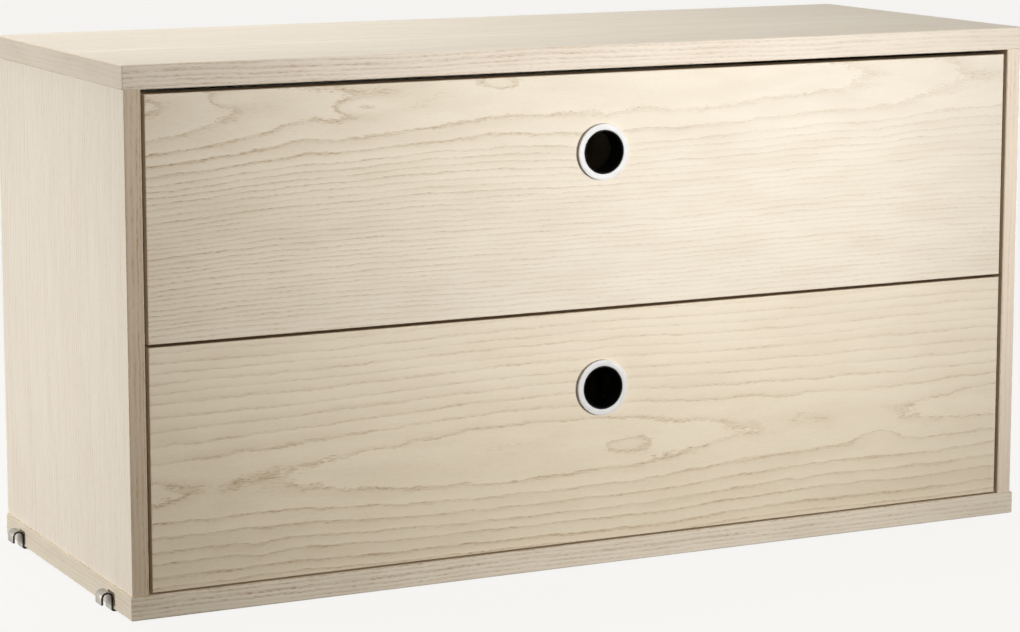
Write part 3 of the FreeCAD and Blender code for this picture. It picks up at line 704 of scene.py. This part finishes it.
def fix_runner(drawer, side):
    """Three low screws that hold a drawer member's web to its board."""
    node = f"{drawer}_{side}_drawer_member"
    low, high = box_of(node)
    inward = 1 if side == "left" else -1
    board = high.x if side == "left" else low.x
    head = board - inward * RUNNER_SCREW_PROUD
    middle, inset = middle_of(node), RUNNER_SCREW_INSET
    places = [
        at(head, along, middle.z) @ spun(90 * inward, "Y") @ loosely_spun(along)
        for along in (low.y + inset, middle.y, high.y - inset)
    ]
    screws = copies(screw_shape(*RUNNER_SCREW), places)
    finish_piece(f"{node}_screws", screws, node, hides=False)


def make_balls(row, size):
    """The balls of one row on both sides, each where its node's ball is."""
    node = f"{row}_balls"
    low, high = box_of(node)
    reach = (high - low) / 2 - Vector((size, size, size)) / 2
    ball = bmesh.new()
    bmesh.ops.create_icosphere(ball, subdivisions=2, radius=size / 2)
    places = [
        Matrix.Translation(middle_of(node) + Vector((side * reach.x, along, up * reach.z)))
        for side in (-1, 1) for along in (-BALL_PITCH, 0, BALL_PITCH) for up in (-1, 1)
    ]
    finish_piece(f"{row}_round_balls", copies(ball, places), node)


# small screws in the thin boards: the back panel's edges, and each bottom under its rear board

SMALL_SCREW = (2.7, 0.5, 0.4, 1.2)
SMALL_PROUD = 1.3
BACK_SCREW_LEVELS, BACK_SCREW_PLACES = (60, 206, 352), (-250, 0, 250)
BOTTOM_SCREW_PLACES = (-290, -97, 97, 290)


def fix_back():
    """Screws along the four edges of the back panel."""
    low, high = box_of("back_panel")
    inset = Vector((3.3, 0, 3.3))
    low, high, rear = low + inset, high - inset, high.y
    spots = [(side, up) for side in (low.x, high.x) for up in BACK_SCREW_LEVELS]
    spots += [(across, up) for across in BACK_SCREW_PLACES for up in (low.z, high.z)]
    places = [
        at(across, rear + SMALL_PROUD, up) @ spun(90, "X") @ loosely_spun(across + up)
        for across, up in spots
    ]
    screws = copies(screw_shape(*SMALL_SCREW, 12), places)
    finish_piece("back_panel_screws", screws, "hook_screws", hides=False)


def fix_bottom(drawer):
    """Screws through a drawer's bottom into its rear board."""
    board = f"{drawer}_drawer_back"
    under = box_of(f"{drawer}_drawer_bottom")[0].z
    places = [
        at(across, middle_of(board).y, under - SMALL_PROUD) @ loosely_spun(across)
        for across in BOTTOM_SCREW_PLACES
    ]
    screws = copies(screw_shape(*SMALL_SCREW, 14), places)
    finish_piece(f"{drawer}_bottom_screws", screws, "hook_screws", False, NODE_BODIES[board])


for drawer in DRAWERS:
    make_pull(drawer)
    fix_bottom(drawer)
make_hooks()
for drawer in DRAWERS:
    make_runners(drawer)
fix_back()


# floor, light and camera

PAPER = "#F9F8F6"
IMAGE_WIDTH, SENSOR_WIDTH = 1020, 36

# the camera that fits the corners of the case, and how far it looks down and round, in degrees
FOCAL_PIXELS = 3152.9
CAMERA_PLACE = (-1.1396, -2.2786, 0.6129)
CAMERA_DOWN, CAMERA_ROUND = 8.62, 26.44


def seen_plainly(tree):
    """1 for what the eye sees straight, in metal or through something clear, and 0 for light."""
    kinds = ("Is Camera Ray", "Is Glossy Ray", "Is Transmission Ray")
    camera, glossy, clear = (add(tree, "LightPath", out=kind) for kind in kinds)
    direct = add(tree, "Math", [camera, glossy], operation="MAXIMUM")
    return add(tree, "Math", [direct, clear], operation="MAXIMUM")


def make_floor():
    """A floor that shows as pale paper with a faint shadow of the case, and throws little light."""
    tree = new_material("paper white floor")
    glow = add(tree, "Emission", {"Color": colour(PAPER), "Strength": 1.0})
    matt = add(tree, "BsdfDiffuse", {"Color": colour(PAPER)})
    dull = add(tree, "BsdfDiffuse", {"Color": colour("#6E685F")})
    shown = add(tree, "MixShader", [0.95, matt, glow])
    made = show(tree, add(tree, "MixShader", [seen_plainly(tree), dull, shown]))
    mesh = bpy.data.meshes.new("floor")
    shape = bmesh.new()
    bmesh.ops.create_grid(shape, x_segments=1, y_segments=1, size=30)
    shape.to_mesh(mesh)
    shape.free()
    mesh.materials.append(made)
    floor = bpy.data.objects.new("floor", mesh)
    bpy.context.scene.collection.objects.link(floor)


def make_lamp(name, place, aim, size, power, code="#FFFFFF", beam=180):
    """A soft square lamp that faces a point, with a beam that spreads over some degrees."""
    lamp = bpy.data.lights.new(name, "AREA")
    lamp.size = size
    lamp.spread = math.radians(beam)
    lamp.energy = power
    lamp.color = colour(code)[:3]
    holder = bpy.data.objects.new(name, lamp)
    bpy.context.scene.collection.objects.link(holder)
    holder.location = place
    holder.visible_camera = False
    holder.rotation_mode = "QUATERNION"
    holder.rotation_quaternion = (Vector(place) - Vector(aim)).to_track_quat("Z", "Y")


def make_lamps():
    """The key stands far off to the right, so that a drawer pulled out towards it stays as bright;
    the side, right and rear lamps stay below the top, which only the lamp above it lights."""
    make_lamp("key", (0.95, -2.1, 0.36), (0.06, -0.15, 0.4), 0.5, 3.08, "#F9FAFD", 41)
    make_lamp("side", (-2.4, 0.7, 0.3), (-0.39, 0, 0.19), 0.4, 3.85, beam=60)
    make_lamp("above", (-0.35, 0.3, 1.4), (-0.08, 0, 0.4), 0.6, 9.4)
    make_lamp("right", (2.2, 0.6, 0.25), (0.39, 0, 0.2), 0.3, 3.2, beam=60)
    make_lamp("rear", (0.6, 1.8, 0.25), (0.1, 0.15, 0.2), 0.3, 3.5, beam=70)


def make_camera():
    """A camera in the fitted place, with a small shift for the framing."""
    camera = bpy.data.cameras.new("camera")
    camera.sensor_width = SENSOR_WIDTH
    camera.lens = FOCAL_PIXELS / IMAGE_WIDTH * SENSOR_WIDTH
    camera.shift_y = -0.06
    camera.clip_end = 100
    holder = bpy.data.objects.new("camera", camera)
    bpy.context.scene.collection.objects.link(holder)
    holder.location = CAMERA_PLACE
    holder.rotation_euler = (math.radians(90 - CAMERA_DOWN), 0, math.radians(-CAMERA_ROUND))
    bpy.context.scene.camera = holder


def make_world():
    """Plain soft light all round, seen straight and in metal as white paper."""
    world = bpy.data.worlds.new("studio")
    bpy.context.scene.world = world
    world.use_nodes = True
    tree = world.node_tree
    tree.nodes.clear()
    light = add(tree, "Background", [colour("#FFEFD2"), 0.2])
    paper = add(tree, "Background", [colour(PAPER), 1.0])
    add(tree, "OutputWorld", [add(tree, "MixShader", [seen_plainly(tree), light, paper])])


make_floor()
make_lamps()
make_camera()
make_world()
bpy.context.scene.view_settings.view_transform = "Standard"
